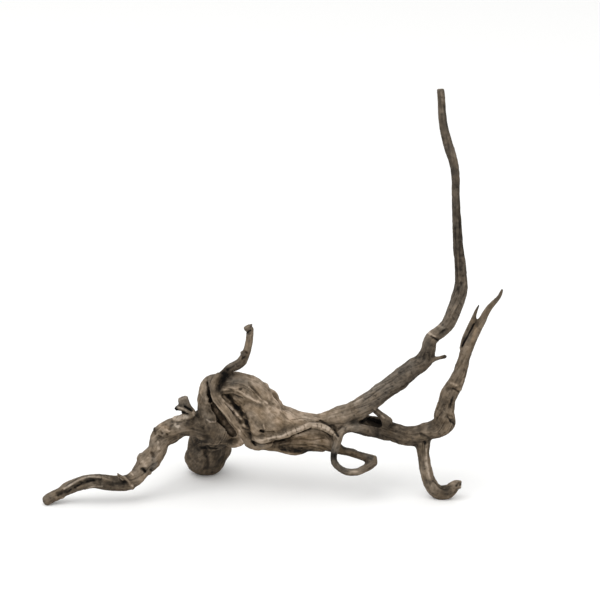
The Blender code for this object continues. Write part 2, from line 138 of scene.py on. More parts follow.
ROUTES: dict[str, Route] = {
    "trunk": limb(
        (-76, 114, 36, 12, 0.0), (-62, 109, 36, 16.5, 0.2), (-50, 101, 36, 25, 0.3), (-28, 87, 36, 22, 0.3),
        (-14, 84, 37, 16, 0.45), (2, 82, 38, 13, 0.55), (20, 81, 38, 12, 0.4), (38, 87, 39, 12.5, 0.2),
        (55, 95.5, 40, 11, 0.1),
        warmth=0.3, roughness=0.3,
    ),
    "whip": limb(
        (34, 85, 39, 12.5, 0.1), (56, 96, 40, 10.8, 0.1), (85, 117, 41, 9.7, -0.1), (113, 138, 43, 9.5, -0.3),
        (124, 146, 44, 8.8, -0.2), (130, 165, 44, 7, -0.25), (141, 175.5, 44, 6.6, -0.1),
        (154, 196, 46, 7.2, 0.0), (161.5, 219, 48, 6.8, -0.4), (160.4, 245, 50, 5.8, -0.6),
        (157.2, 282, 53, 4.7, -0.7), (156, 327, 56, 4.2, -0.45), (150.3, 357, 58, 4.9, -0.45),
        (144.5, 377, 58, 4.5, -0.4), (141, 418, 60, 3.9, -0.3),
        warmth=-0.4,
    ),
    "lower_arm": limb(
        (45, 84, 50, 10, -0.1), (70, 81, 50, 10.5, -0.25), (92, 75.5, 42, 10, -0.45),
        (117, 71, 33, 10, -0.25), (138, 78, 28, 10, -0.2), (145, 95, 26, 10.2, -0.1), (150, 114, 24, 9, -0.1),
        (161.5, 139, 20, 6.6, -0.15), (172.5, 169, 18, 5.7, -0.15), (183.2, 187.5, 16, 4, -0.2),
        (196, 206, 13, 2.7, -0.4), (202.5, 217, 12, 1.7, -0.4),
        warmth=0.1, roughness=0.5,
    ),
    "fork_prong": limb((162.5, 158, 19, 3.2, -0.1), (173.3, 187, 17, 2.7, -0.3), (178.8, 201, 15, 1.4, -0.4)),
    "foot": limb(
        (122, 72, 31, 8.5, -0.2), (123.5, 52, 28.5, 6.2, -0.2), (127, 35, 24.5, 6.5, -0.1),
        (134, 18.5, 20.5, 7, -0.2), (148, 15, 20, 7.2, -0.2), (161.5, 22, 14, 4.4, -0.2),
    ),
    "twig": limb((127, 144, 42, 4, -0.5), (138, 148.5, 36, 2.3, -0.4), (146, 150.5, 34, 2.5, -0.7)),
    "dome": limb(
        (-76, 119, 35, 10, 0.0), (-60, 119, 35, 15, 0.1), (-39, 107, 37, 13.5, 0.3),
        warmth=0.1, roughness=0.25,
    ),
    "hub": limb(
        (-92, 121, 41, 7, 0.1), (-90, 110, 46, 12, 0.05), (-84, 90, 54, 20, -0.15), (-87, 70, 62, 16, -0.35),
        roughness=0.25,
    ),
    "heel": limb(
        (-88, 80, 60, 15, -0.4), (-91, 70, 70, 17.5, -0.35), (-93.5, 50.5, 84, 21.3, -0.3),
        warmth=0.1, roughness=0.25,
    ),
    # Painted light: its tones are raised so that the gap between hub and rim, in its own shadow, still reads
    # brown
    "web": limb(
        (-90, 88, 62, 14, 0.2), (-64, 84, 54, 15, 0.5), (-50, 88, 46, 17, 0.3),
        warmth=0.3, roughness=0.3,
    ),
    "left_arm": limb(
        (-97, 82, 52, 15, -0.25), (-117, 82, 44.5, 11.3, 0.0), (-129, 76, 40.5, 11.8, -0.1),
        (-139, 68, 35, 11, 0.05), (-149, 48, 25, 10.6, 0.05), (-163, 30, 15.5, 8.4, 0.05),
        (-183, 23.5, 10, 7.6, -0.4), (-207, 25.5, 9, 7.6, -0.3), (-231, 19, 9.5, 6.4, -0.2),
        (-254, 5.5, 5.5, 5.4, -0.35),
        roughness=0.55,
    ),
    "rim": limb(
        (-80, 132, 28, 4.5, -0.4), (-85, 115, 23, 4.7, -0.2), (-71, 92, 18, 4.2, -0.1),
        (-54, 69, 21, 4.5, -0.05), (-42, 61, 23, 5, 0.0), (-29, 64, 24, 3.6, -0.1),
        warmth=0.2, roughness=0.4,
    ),
    "sprig": limb(
        (-84, 118, 30, 5, -0.7), (-69, 139, 31, 4.9, -0.45), (-58, 145.5, 29, 5, -0.35),
        (-51, 164, 26, 3.9, -0.1), (-49.5, 179, 24, 3.6, -0.2),
        warmth=-0.1, roughness=0.6,
    ),
    "sprig_tip": limb((-48.8, 181.5, 24, 2.4, -0.3), (-55, 177.5, 22, 2.9, -0.5), warmth=-0.5),
    "braid": limb(
        (-52, 72, 21, 2.4, 0.2), (-33, 67, 14, 3.2, 0.3), (-10, 73.8, 15, 2.9, 0.2), (11, 81.5, 21, 3.2, 0.3),
        (25, 79, 21, 3.5, 0.45), (38, 65, 16, 4.1, 0.1),
        roughness=0.5,
    ),
    "lower_root": limb(
        (-44, 66, 38, 10, -0.1), (-5, 62, 36, 10.3, 0.0), (18, 66.5, 34, 11, 0.0), (40, 57, 29, 5, -0.4),
        (75, 46.5, 18, 5, -0.5),
        warmth=0.6,
    ),
    "loop": limb(
        (74.5, 46, 18, 4.8, -0.3), (57.5, 35, 12, 4.1, -0.1), (37, 41, 8, 3.6, -0.45),
        (34, 52, 11, 3.7, -0.45), (41, 73, 18, 3.8, -0.3), (58, 79, 30, 4.6, -0.3), (74, 75, 39, 5, -0.3),
        warmth=-0.4,
    ),
    "stub": limb((-110, 92, 42, 6.5, -0.05), (-117, 109, 40, 5.2, -0.1), warmth=-0.6),
    "bark_shelf": limb((-106, 93.5, 40, 3, 0.1), (-124, 98.8, 36, 2.6, -0.3), warmth=-0.4),
    "broken_branch": limb((68, 101, 38, 3, -0.35), (89, 84.5, 38, 5, -0.35), warmth=-0.3),
}


@dataclass(frozen=True)
class Mark:
    """A mark that the front view shows: rows of across, up and half width in millimetres.

    Rise is how many millimetres it stands proud, or lies sunken where it is negative. Tone and warmth are
    added to the wood's own. Most sunken marks are also darker: that is painted shade in their pits, grooves
    and gaps.
    """

    path: tuple[Triple, ...]
    rise: float = 0.0
    tone: float = 0.0
    warmth: float = 0.0


def stroke(x0: float, y0: float, x1: float, y1: float, half_width: float, *traits: float) -> Mark:
    """Make a straight mark, as wide all along, with its rise, its tone and its warmth as its traits."""
    return Mark(((x0, y0, half_width), (x1, y1, half_width)), *traits)


MARKS: tuple[Mark, ...] = (
    # The trunk's rim and the worn side within it
    Mark(((-80, 111, 2.2), (-74, 103.5, 2.4), (-66, 97, 2.4), (-59, 88.5, 2.2)), 0.8, 0.5),
    # Painted highlight on the rim's outer edge, which also stands proud
    Mark(
        ((-89, 113, 1.8), (-86.5, 106, 1.8), (-76.5, 94.5, 1.8), (-65, 80.5, 1.8), (-60, 76, 1.6)), 0.5, 0.4
    ),
    # Painted shade over the worn hollow
    Mark(
        ((-71, 110, 6), (-65, 104, 8), (-59, 98, 9), (-55, 91, 9), (-53, 84, 8), (-51, 79, 5)),
        0.4, -1.05, 0.4,
    ),
    Mark(((-76.5, 110.5, 3.4), (-70.5, 105.5, 3)), 1.6, 0.4),
    # Painted shade in the sunken blots of the worn hollow
    Mark(((-67, 103, 2.4), (-64, 100, 3.2), (-62, 97.5, 2.4)), -1.0, -0.5, 0.5),
    Mark(((-60, 95, 2.4), (-58, 92, 3)), -0.8, -0.5, 0.5),
    Mark(((-61, 87, 2.2), (-59, 84, 2.6)), -0.8, -0.5, 0.5),
    stroke(-55, 87, -53, 83, 2.2, -0.6, -0.6),
    stroke(-57, 79, -52, 77, 2, -0.6, -0.5),
    Mark(((-62, 106, 2), (-57, 102, 2.4)), -0.4, -0.4),
    stroke(-68.5, 98.5, -67.5, 97.5, 1.8, 0.9, 0.9),
    Mark(((-64.5, 93.5, 1.8), (-62.5, 91.5, 2)), 0.9, 0.9),
    stroke(-60, 88.5, -58.5, 87.5, 1.6, 0.6, 0.6),
    Mark(((-64, 104, 1.6), (-61.5, 102, 1.8)), 0.7, 0.6),
    Mark(((-57, 97, 1.6), (-55.5, 95, 1.8)), 0.7, 0.5),
    stroke(-56, 90, -54.5, 88.5, 1.6, 0.7, 0.6),
    stroke(-56.5, 82.5, -55, 80.5, 1.6, 0.6, 0.5),
    # Painted shade where the hub turns into the gap behind the rim
    Mark(((-86, 97, 4), (-80, 90, 6), (-77, 82, 6)), 0.0, -0.35),
    # The dome
    stroke(-66, 125, -54, 125, 8, 0.0, -0.2, -0.4),
    stroke(-60.5, 118, -59, 118, 2.2, -0.8, -0.8),
    Mark(((-76, 117, 2.2), (-69, 119, 2.4), (-62, 116, 2.2), (-55, 111.5, 2.2), (-40, 104.5, 2)), 0.5, 0.4),
    Mark(((-51, 119.5, 1.7), (-45.5, 114.5, 1.8), (-39.5, 108, 1.8), (-32.5, 103.5, 1.6)), 0.6, 0.5),
    Mark(((-55, 120, 2), (-49, 114, 2), (-43, 111, 1.8)), 0.3, -0.3),
    stroke(-66, 112.5, -58, 109.5, 2, -0.6, -0.4),
    Mark(((-48.5, 122, 2), (-46, 116, 1.8)), 0.3, -0.3),
    Mark(((-44, 118, 1.8), (-38, 110, 1.8), (-31, 106, 1.6)), 0.3, -0.25),
    # The trunk's face
    Mark(((-45, 108, 8), (-36, 103, 10), (-28, 98, 9), (-12, 92, 8)), 0.0, 0.3, 0.2),
    Mark(((-44, 87, 8), (-33, 83, 9), (-24, 81, 6)), 0.0, -0.35, 0.0),
    Mark(((-22, 86, 8), (2, 84, 7)), 0.0, 0.1, 0.5),
    stroke(-48, 100, -40, 96, 6, 0.0, 0.0, 0.6),
    stroke(-27.5, 103.5, -26.5, 103, 1.5, -0.3, -0.5),
    stroke(-17, 98, -16, 97.5, 1.5, -0.3, -0.5),
    stroke(-25, 95, -24, 94.5, 1.4, -0.2, -0.35),
    stroke(-7.5, 96, -6.5, 95.5, 1.4, -0.3, -0.5),
    stroke(4.5, 86.5, 6, 86, 1.6, -0.4, -0.5),
    Mark(((-9, 87, 1.2), (0, 88.5, 1.2), (8, 88, 1.2)), -0.4, -0.3),
    stroke(-39.5, 76, -36.5, 75.5, 1.9, -1.8, -1.8),
    stroke(-36.5, 82, -35.5, 78, 1.4, 0.8, 0.6),
    stroke(-33, 75.5, -26, 75.5, 1.2, -0.7, -0.8),
    # The braided ridge
    Mark(
        (
            (-43, 66, 1.8), (-33, 68, 2), (-25, 69.8, 2), (-17, 71.6, 2), (-10, 74.4, 2), (-2, 77.4, 2),
            (6, 80, 2),
        ),
        0.5, 0.3,
    ),
    # Painted shade in the groove under the braided ridge
    Mark(
        ((-33, 63.5, 1.3), (-25, 65.3, 1.5), (-17, 67.2, 1.6), (-9, 70.6, 1.6), (-2, 73.6, 1.6)),
        -0.7, -0.8, 0.6,
    ),
    Mark(((-2, 73.6, 1.6), (5, 76.6, 1.7), (11, 79, 1.6)), -1.0, -1.0, 0.6),
    # Painted shade in the notches between the ridge's beads
    stroke(-33.5, 70.5, -33, 66, 1, -0.3, -0.3),
    stroke(-29, 71.5, -28.5, 67, 1, -0.3, -0.3),
    stroke(-24, 72, -23.5, 68.5, 1, -0.3, -0.3),
    stroke(-19, 73, -18, 69.5, 1.1, -0.3, -0.25),
    stroke(-14, 75.5, -12.5, 71.5, 1.1, -0.5, -0.4),
    stroke(-9, 77, -8, 73.5, 1.1, -0.3, -0.25),
    stroke(-4.5, 79, -3, 75, 1.1, -0.5, -0.4),
    stroke(0, 80, 1, 76.5, 1.1, -0.3, -0.25),
    stroke(4, 81.5, 5, 78, 1.1, -0.5, -0.4),
    # The small arch
    Mark(
        ((13, 81.5, 2), (20, 80, 2.2), (26, 78.5, 2.2), (30.5, 76, 2.2), (35, 72.5, 2.2), (38.5, 68, 2)),
        0.5, 0.4,
    ),
    # Painted shade in the gaps under the arch, then the shadow above and right of it
    Mark(((22.5, 76, 1.7), (28, 73.5, 1.8), (32.5, 70, 1.7)), -0.8, -0.8),
    Mark(((20, 86.5, 1.8), (28, 82, 2), (35, 76, 2), (38, 71, 1.8)), -1.2, -1.0),
    *(
        stroke(*ends, 1, -0.5, -0.5)
        for ends in (
            (17, 83, 17.5, 80), (21.5, 82, 21.5, 79.5), (26, 80, 25.5, 77.5), (30.5, 77.5, 29, 75),
            (34.5, 74, 32.5, 72),
        )
    ),
    # The root under the trunk
    Mark(((-8, 68.5, 4), (6, 70, 5), (18, 69, 5), (28, 65, 5)), 0.0, 0.4, 0.4),
    # Painted shade on the underside of the root under the trunk
    Mark(((-21, 59.5, 3), (-9, 58, 5), (4, 57, 6), (16, 54.5, 5.5), (33, 51, 5)), 0.0, -1.0),
    Mark(((-17, 57, 3.5), (-7, 55.5, 4.5), (5, 54, 4.5), (14, 54, 3.5)), 0.0, -1.0),
    Mark(((-21, 61.2, 1.2), (-9, 62.5, 1.3), (2, 62.4, 1.3), (16, 59, 1.3), (31, 54.5, 1.3)), -0.4, -0.4),
    Mark(((-60, 76, 2.6), (-61, 70, 3), (-56.5, 65, 2.6)), 0.0, 0.45, -0.3),
    Mark(((-50, 74, 1.7), (-49, 67, 1.8), (-45, 62, 1.7)), -1.0, -0.6),
    stroke(-41, 61.5, -37, 61.5, 3.5, 0.0, 0.1, -0.6),
    Mark(((0, 68, 1.3), (12, 67, 1.3), (24, 69, 1.3)), -0.5, -0.4),
    # The hub
    stroke(-93.5, 119.5, -94, 103.5, 2, 0.4, 0.4),
    # Painted shade in the crevice between the hub's lobe and the rim
    Mark(((-92.5, 124, 1.8), (-91, 116, 2), (-89, 108, 2), (-89, 101, 2)), -1.0, -1.0, 0.5),
    # Painted highlight on the small ledge inside the hub's hollow, which also stands proud
    Mark(((-93, 87.3, 1.8), (-90, 85.3, 2), (-85, 85.2, 2), (-83, 87.5, 1.8)), 0.4, 1.0, -0.2),
    stroke(-97, 72, -94, 69, 4, 0.0, -0.4),
    Mark(((-100.5, 63.5, 1.9), (-86, 62.5, 1.9), (-74, 63.5, 1.9)), 0.5, 0.4),
    Mark(((-98, 58.5, 2), (-90, 59, 2.4), (-84, 58.5, 2)), -0.3, -0.4),
    Mark(((-98, 118, 4), (-102, 103, 5), (-109, 90, 5)), 0.0, 0.45, 0.4),
    Mark(((-107, 95, 4), (-104, 92, 5), (-98, 84, 6)), 0.0, 0.3),
    # Painted shade on the hub's right side, reaching into the web
    Mark(((-80, 90, 7), (-74, 80, 7), (-70, 72, 5)), 0.0, -0.4),
    # Painted light: the gap between hub and rim is lightened so that it reads brown in its shadow
    Mark(((-85, 98, 4), (-80, 90, 4.5), (-76, 84, 4.5)), 0.0, 1.8, 0.5),
    Mark(((-76, 84, 4.5), (-69, 75, 4)), 0.0, 1.2, 0.3),
    # The heel
    stroke(-104, 52, -106, 40, 9, 0.0, 0.2, -0.3),
    Mark(((-96, 55, 2.4), (-92.5, 49, 2.6), (-91.5, 40, 2.4)), -0.3, -0.35),
    stroke(-82, 52, -80, 42, 9, 0.0, -0.25),
    # The reaching arm
    Mark(((-127, 90.5, 5), (-121, 89, 6), (-114, 90.5, 4.5)), 0.0, 1.7, -0.2),
    Mark(((-127, 91, 3), (-122, 92.2, 3.4)), 2.0),
    stroke(-125, 82.5, -122, 80, 3.5, 0.0, 1.2, -0.2),
    stroke(-128, 84.8, -118, 85, 1.2, -0.5, -0.5),
    # Painted shade in the gaps under the flange
    Mark(((-125, 98, 2), (-118, 94.8, 2.3), (-112.5, 93.4, 1.8)), -1.5, -2.2, 0.3),
    Mark(((-115, 100.5, 1.8), (-111, 98, 2.3), (-108, 96.5, 2)), -1.4, -2.2, 0.3),
    # Painted highlight along the flange's edge
    Mark(((-122, 100, 1.5), (-116, 97.7, 1.6), (-111.5, 94.8, 1.4)), 0.3, 0.7),
    Mark(((-127, 98.5, 2.6), (-123, 100.5, 2.4)), 0.0, -0.4, -0.6),
    Mark(((-147, 85, 5), (-132, 79, 6)), 0.0, 0.3, 0.6),
    *(
        stroke(*ends, 1.8, -0.5, -0.6, 0.5)
        for ends in ((-139, 75.5, -138, 74), (-133.5, 73.5, -132.5, 72.5), (-141, 71.5, -139, 70.5))
    ),
    Mark(((-132.5, 77, 1.7), (-130.5, 75.5, 1.6)), 0.4, 0.6),
    stroke(-142, 65, -141, 58, 2.4, 0.4, 0.6),
    stroke(-148, 54, -147, 51, 1.9, -0.4, -0.4, 0.5),
    # Painted shade: a cool grey patch low on the arm, where it is shaded
    stroke(-146, 48, -147, 38, 5, 0.0, -0.2, -0.8),
    Mark(((-159, 52, 4.5), (-155, 41, 5)), 0.0, 0.35, 0.2),
    stroke(-161, 53.5, -160.5, 51.5, 2.2, 0.0, -0.6, -0.5),
    Mark(((-156.8, 37.8, 1.7), (-154.8, 35.3, 1.8)), -0.9, -1.0, 0.8),
    stroke(-168, 21.5, -167.3, 20.8, 1.7, 0.4, 1.6, 0.2),
    # Painted shade: more of the cool grey patch, here with a rise
    stroke(-146, 41, -144, 43, 4, 1.5, -0.2, -0.8),
    stroke(-149.3, 37.2, -148.5, 36.5, 2, -1.3, -0.3),
    stroke(-150, 33.5, -151.5, 31, 3, 1.2),
    stroke(-171, 36, -167, 32, 1.5, 0.4, 0.6),
    Mark(((-147, 79.5, 2.8), (-145.5, 76.5, 2.6)), 0.0, -1.5, -0.6),
    Mark(((-184, 32, 1.3), (-177, 26.5, 1.5)), 0.3, 0.8, -0.3),
    Mark(((-200, 26.5, 2.4), (-212, 26, 3), (-221, 22, 3), (-230, 17, 3), (-240, 12, 2.4)), 0.3, -0.55, 0.2),
    Mark(((-206, 26.5, 1.6), (-213, 25, 2)), -0.6, -0.5, 0.9),
    Mark(((-219, 23, 1.6), (-225, 19.5, 2)), -0.6, -0.6, 0.5),
    Mark(((-229, 17.5, 1.6), (-233, 14.5, 1.8)), -0.5, -0.5, 0.3),
    stroke(-238, 13.5, -242, 11.5, 1.5, -0.4, -0.5),
    Mark(((-198, 20.5, 1.8), (-206, 20.5, 2), (-220, 16, 2), (-238, 8.5, 1.8)), 0.6, 0.9, -0.4),
    Mark(((-200, 29.5, 1.8), (-211, 30.5, 2), (-222, 26.5, 2), (-236, 18, 1.8)), 0.6, 0.8, -0.5),
    Mark(
        ((-184, 32.5, 1.6), (-196, 33, 1.6), (-211, 33.2, 1.6), (-221, 30, 1.6), (-234, 21, 1.5)),
        0.0, -0.6, -0.5,
    ),
    *(
        stroke(*ends, 1, 0.2, 0.5, -0.4)
        for ends in ((-197.5, 31, -197.5, 28), (-194, 31, -194, 28.5), (-190.5, 31, -190.5, 28.5))
    ),
    stroke(-198, 23, -177, 22, 5, 0.0, -0.4),
    Mark(((-175, 30, 1.8), (-171, 25, 2), (-167.5, 18, 1.8)), 0.5, 0.35),
    Mark(((-188, 29, 2), (-184, 27, 2.4)), 0.0, -0.5),
    # The rising arm
    # Painted shade along the underside of the rising arm
    Mark(((50, 84, 4), (66, 94, 4), (88, 109, 4), (113, 128, 4)), 0.0, -0.4),
    stroke(126, 150, 130, 163, 6, 0.0, -0.4),
    stroke(131, 171, 138, 166.5, 1.6, -0.7, -0.8),
    Mark(((127.5, 175, 2.2), (131, 172.5, 2.6), (135, 170.5, 2.2)), -0.3, 2.2, -0.2),
    stroke(144, 150, 147, 150.5, 3, 0.0, -0.8),
    Mark(((60, 103, 1.3), (78, 117, 1.4), (97, 130, 1.3)), -0.3, -0.15),
    # Painted highlight: the arm's upper edge lighter and cooler
    Mark(((54, 103, 3.5), (78, 121, 3.5), (110, 145, 3.5)), 0.0, 0.35, -0.4),
    # Painted shade just under the rising arm
    Mark(((84, 104, 4), (100, 114, 4), (118, 127, 4)), 0.0, -0.4),
    # The whip
    stroke(158, 253, 159.5, 222, 2, 0.0, 0.7),
    stroke(141.5, 415, 144, 385, 1.8, 0.0, 0.5),
    stroke(157.5, 300, 158, 272, 1.6, 0.0, 0.35),
    stroke(138, 181, 146, 178.5, 2.5, 0.6, 0.3),
    stroke(140, 174, 146, 178, 2.2, -0.4, -0.5),
    stroke(151, 190, 156, 201, 2, 0.5, 0.2),
    # The forked branch
    stroke(148, 121.5, 153, 118.5, 1.4, 0.3, -0.15),
    Mark(((153, 118.5, 1.4), (158.5, 115.5, 1.9)), -0.6, -0.9, 0.3),
    stroke(151, 124, 158, 121, 2.4, 0.4, 0.55),
    Mark(((160.5, 119, 2), (164, 132, 2.4), (167, 145, 2)), 0.0, 0.5, -0.1),
    stroke(149, 107.5, 152, 97, 2, 0.5, 0.0),
    Mark(((153, 110, 1.2), (150.5, 103, 1.4), (151, 99, 1.2)), -0.5, -0.5),
    Mark(((146, 92, 2), (151, 88, 2), (156, 82, 2)), 0.6, -0.1),
    Mark(((147, 91, 1.3), (150, 86, 1.4), (155, 82.5, 1.3)), -0.6, -0.5),
    stroke(150, 90, 152, 88.8, 1.7, 0.7, 0.5),
    Mark(((162.5, 161, 1.4), (168, 172, 1.5), (174, 183, 1.3)), -1.2, -1.6),
    # Painted shade in the hollow between the rising arm and the branch below it, a dark patch and a dark lump
    Mark(((62, 86, 2.8), (70, 89, 3.5), (79, 84.5, 3)), 0.0, -1.4),
    stroke(70, 88.5, 77, 86.5, 4.5, 3.2, -1.0),
    Mark(((44, 59, 4), (58, 56, 4), (72, 49, 4)), 0.0, -0.3, -1.0),
    Mark(((74, 98, 1.6), (79, 94, 1.7), (84, 89, 1.5)), 0.4, 0.8),
    Mark(((96, 76, 1.4), (112, 72, 1.5), (122, 74, 1.3)), -0.3, -0.15),
    stroke(150, 80, 158, 104, 3, 0.0, 0.2),
    Mark(((172, 186, 2.6), (176, 178, 3), (172, 165, 3.4)), 0.0, 0.5, 0.8),
    stroke(177, 198, 179, 202, 2, 0.0, -0.8, -0.6),
    # Painted shade on the lower arm, under the rising arm
    stroke(86, 85, 94, 83, 4, 0.0, -0.4),
    # The hooked foot
    stroke(124.5, 65, 125.5, 63.5, 2.6, -0.8, -1.1),
    Mark(((126.5, 63, 2), (126, 45, 2.6), (129.5, 29, 2.2)), 0.0, 1.0, -0.3),
    stroke(152, 14, 140, 14, 5, 0.0, -0.2),
    stroke(156, 21, 159, 24.5, 1.8, -0.5, -0.9),
    stroke(160.5, 20.5, 161.5, 19, 1.6, 0.3, 1.2, -0.4),
    stroke(161.5, 23, 162.5, 21, 2.6, -0.9, -0.7),
    Mark(((133, 26, 1.4), (141, 19, 1.4), (150, 21, 1.3)), -0.4, -0.25),
    # The looped rootlet
    stroke(50, 34.5, 60, 36, 3, 0.0, 0.7, 0.3),
    stroke(36, 44, 34, 56, 2, 0.0, -0.3),
    stroke(47, 79, 60, 81, 1.8, 0.0, 0.3),
    # The top sprig
    Mark(((-73, 137, 5), (-78, 130, 5.5), (-82, 122, 5), (-82, 117, 4)), 0.0, -1.0, 0.3),
    stroke(-74, 141, -70, 143, 3.5, 0.0, 0.3, -1.0),
    stroke(-66, 138, -58, 142, 3, 0.0, -0.2, 0.4),
    stroke(-58, 148, -56, 150, 1.8, -0.5, -0.9),
    stroke(-54.5, 156, -53, 154, 1.8, -0.3, -0.5, 0.6),
    Mark(((-57.5, 154, 3.2), (-56.8, 152.5, 3)), 2.4, -0.7, -0.6),
    stroke(-54, 171, -53, 163, 2.2, 0.0, 0.1, 0.9),
    stroke(-49, 172, -50, 162, 1.6, 0.0, 0.6, 0.4),
    Mark(((-48.6, 183.2, 2), (-49, 181.8, 1.8)), 1.6, -0.3, -0.5),
    stroke(-54, 173.6, -49.5, 176.5, 1.5, -0.6, -1.0),
    stroke(-73, 137, -66, 141, 1.4, -0.5, -0.4),
)


@dataclass(frozen=True)
class Push:
    """A place of the skin that is pushed, as with a thumb.

    Middle is its across, up and behind in the front view. Reach is how far round it the skin follows, and way
    is how far the middle goes along x, y and z, all in millimetres.
    """

    middle: Triple
    reach: float
    way: Triple


PUSHES: tuple[Push, ...] = (
    # The trunk's top, which falls away in one line
    Push((-21.5, 112, 36), 10, (-3, 0, -4.5)),
    Push((-34, 119.5, 37), 7, (1, 0, 3)),
    Push((-19, 103.5, 36), 7, (0.7, 0, 2.5)),
    # The heel, widest above its middle and rounded below
    Push((-72, 57, 80), 15, (4.5, 0, 0)),
    Push((-114, 51, 83), 12, (-2, 0, 0)),
    Push((-110, 38, 85), 9, (2.5, 0, 1.5)),
    Push((-77, 38, 85), 9, (-2.5, 0, 1.5)),
)


class Fibres:
    """How the fibres run: a run of points on the limbs' middle lines, each with its own upright frame."""

    STEP = 1.0 * MM  # from one point of a route to the next
    TURNS_PER_METRE = 3.0  # how tightly the fibres twist
    LIMB_GAP = 0.731  # metres of fibre between one limb's pattern and the next, so that no two match
    CHUNK = 8000  # how many points are read at a time, which keeps the tables small
    BLEND = 3.0 * MM  # how softly one limb's traits pass into the next one's

    def __init__(self, routes: dict[str, Route]) -> None:
        """Lay the points along every route."""
        columns: list[list[np.ndarray]] = [[] for _ in range(6)]
        for number, route in enumerate(routes.values()):
            for column, rows in zip(columns, self._laid(route, number)):
                column.append(rows)
        self.centre, self.way, self.side, self.back, self.length, self.traits = map(np.concatenate, columns)

    def _laid(self, route: Route, number: int) -> tuple[np.ndarray, ...]:
        """Lay the points of one route.

        Args:
            route: the limb's middle line.
            number: which limb it is.

        Returns:
            Centres, directions, sides, backs, lengths, and rows of radius, tone, warmth and roughness.
        """
        rows = np.array([(*seen_at(a, u, b), wide * MM, tone) for a, u, b, wide, tone in route.rows])
        at = np.concatenate([[0], np.cumsum(np.linalg.norm(np.diff(rows[:, :3], axis=0), axis=1))])
        slopes = np.gradient(rows, at, axis=0)
        places = np.linspace(0, at[-1], max(3, round(at[-1] / self.STEP)))
        left = np.clip(np.searchsorted(at, places, side="right") - 1, 0, len(at) - 2)
        gap = (at[left + 1] - at[left])[:, None]
        t = ((places - at[left]) / gap[:, 0])[:, None]
        run = (
            rows[left] * (2 * t**3 - 3 * t**2 + 1)
            + slopes[left] * gap * (t**3 - 2 * t**2 + t)
            + rows[left + 1] * (3 * t**2 - 2 * t**3)
            + slopes[left + 1] * gap * (t**3 - t**2)
        )
        ways = np.gradient(run[:, :3], axis=0)
        ways /= np.linalg.norm(ways, axis=1)[:, None]
        side = np.cross(ways[0], FORWARD)
        sides = []
        for way in ways:
            side = side - way * (side @ way)
            side = side / np.linalg.norm(side)
            sides.append(side)
        flat = np.array(sides)
        upright = np.cross(ways, flat)
        turn = (2 * math.pi * self.TURNS_PER_METRE * places)[:, None]
        turned = flat * np.cos(turn) + upright * np.sin(turn)
        back = np.cross(ways, turned)
        same = np.ones(len(run))
        traits = np.stack([run[:, 3], run[:, 4], same * route.warmth, same * route.roughness], axis=1)
        return run[:, :3], ways, turned, back, places + number * self.LIMB_GAP, traits

    def read(self, points: np.ndarray) -> tuple[np.ndarray, np.ndarray]:
        """Read the fibres at some points.

        Args:
            points: rows of x, y and z in metres.

        Returns:
            Places (two across the fibres, one along them, in metres), and rows of limb radius, tone, warmth
            and roughness.
        """
        centre = self.centre.astype(np.float32)
        squares = (centre**2).sum(axis=1)
        traits = self.traits.astype(np.float32)
        places, blended = [], []
        for start in range(0, len(points), self.CHUNK):
            some = points[start : start + self.CHUNK].astype(np.float32)
            apart = (some**2).sum(axis=1)[:, None] + squares - 2 * some @ centre.T
            gaps = np.sqrt(np.maximum(apart, 0)) - traits[:, 0]
            near = gaps.argmin(axis=1)
            off = some - centre[near]
            along = self.length[near] + (off * self.way[near]).sum(axis=1)
            over = (off * self.side[near]).sum(axis=1)
            behind = (off * self.back[near]).sum(axis=1)
            places.append(np.stack([over, behind, along], axis=1))
            share = np.exp((gaps.min(axis=1)[:, None] - gaps) / np.float32(self.BLEND))
            blended.append(share @ traits / share.sum(axis=1)[:, None])
        return np.concatenate(places), np.concatenate(blended)


def applied(piece: Object, kind: str, **settings: object) -> None:
    """Add one modifier to a piece and apply it.

    Args:
        piece: the object that takes the modifier.
        kind: Blender's name for the modifier's type.
        settings: the modifier's values by name.
    """
    modifier = piece.modifiers.new(kind.lower(), kind)
    for name, value in settings.items():
        setattr(modifier, name, value)
    bpy.ops.object.select_all(action="DESELECT")
    bpy.context.view_layer.objects.active = piece
    piece.select_set(True)
    bpy.ops.object.modifier_apply(modifier=modifier.name)


def points_of(piece: Object) -> np.ndarray:
    """Return a piece's points as rows of x, y and z."""
    flat = np.empty(len(piece.data.vertices) * 3, np.float32)
    piece.data.vertices.foreach_get("co", flat)
    return flat.reshape(-1, 3).astype(float)


def move_points(piece: Object, points: np.ndarray) -> None:
    """Put a piece's points at these places."""
    piece.data.vertices.foreach_set("co", points.astype(np.float32).ravel())
    piece.data.update()


def normals_of(piece: Object) -> np.ndarray:
    """Return the directions that a piece's points face, one row each."""
    flat = np.empty(len(piece.data.vertices) * 3, np.float32)
    piece.data.vertex_normals.foreach_get("vector", flat)
    return flat.reshape(-1, 3).astype(float)


def edges_of(piece: Object) -> np.ndarray:
    """Return a piece's edges as rows of two point numbers."""
    flat = np.empty(len(piece.data.edges) * 2, np.int32)
    piece.data.edges.foreach_get("vertices", flat)
    return flat.reshape(-1, 2)


def eased(values: np.ndarray, edges: np.ndarray, share: float, turns: int) -> np.ndarray:
    """Even out values along a mesh's edges.

    Args:
        values: one row for each point.
        edges: rows of two point numbers.
        share: how far each value goes towards its neighbours' mean in a turn.
        turns: how many times.

    Returns:
        The evened values.
    """
    count = len(values)
    ends = np.concatenate([edges[:, 0], edges[:, 1]])
    others = np.concatenate([edges[:, 1], edges[:, 0]])
    degree = np.maximum(np.bincount(ends, minlength=count), 1)
    held = values.copy()
    for _ in range(turns):
        for column in range(held.shape[1]):
            total = np.bincount(ends, weights=held[others, column], minlength=count)
            held[:, column] += share * (total / degree - held[:, column])
    return held


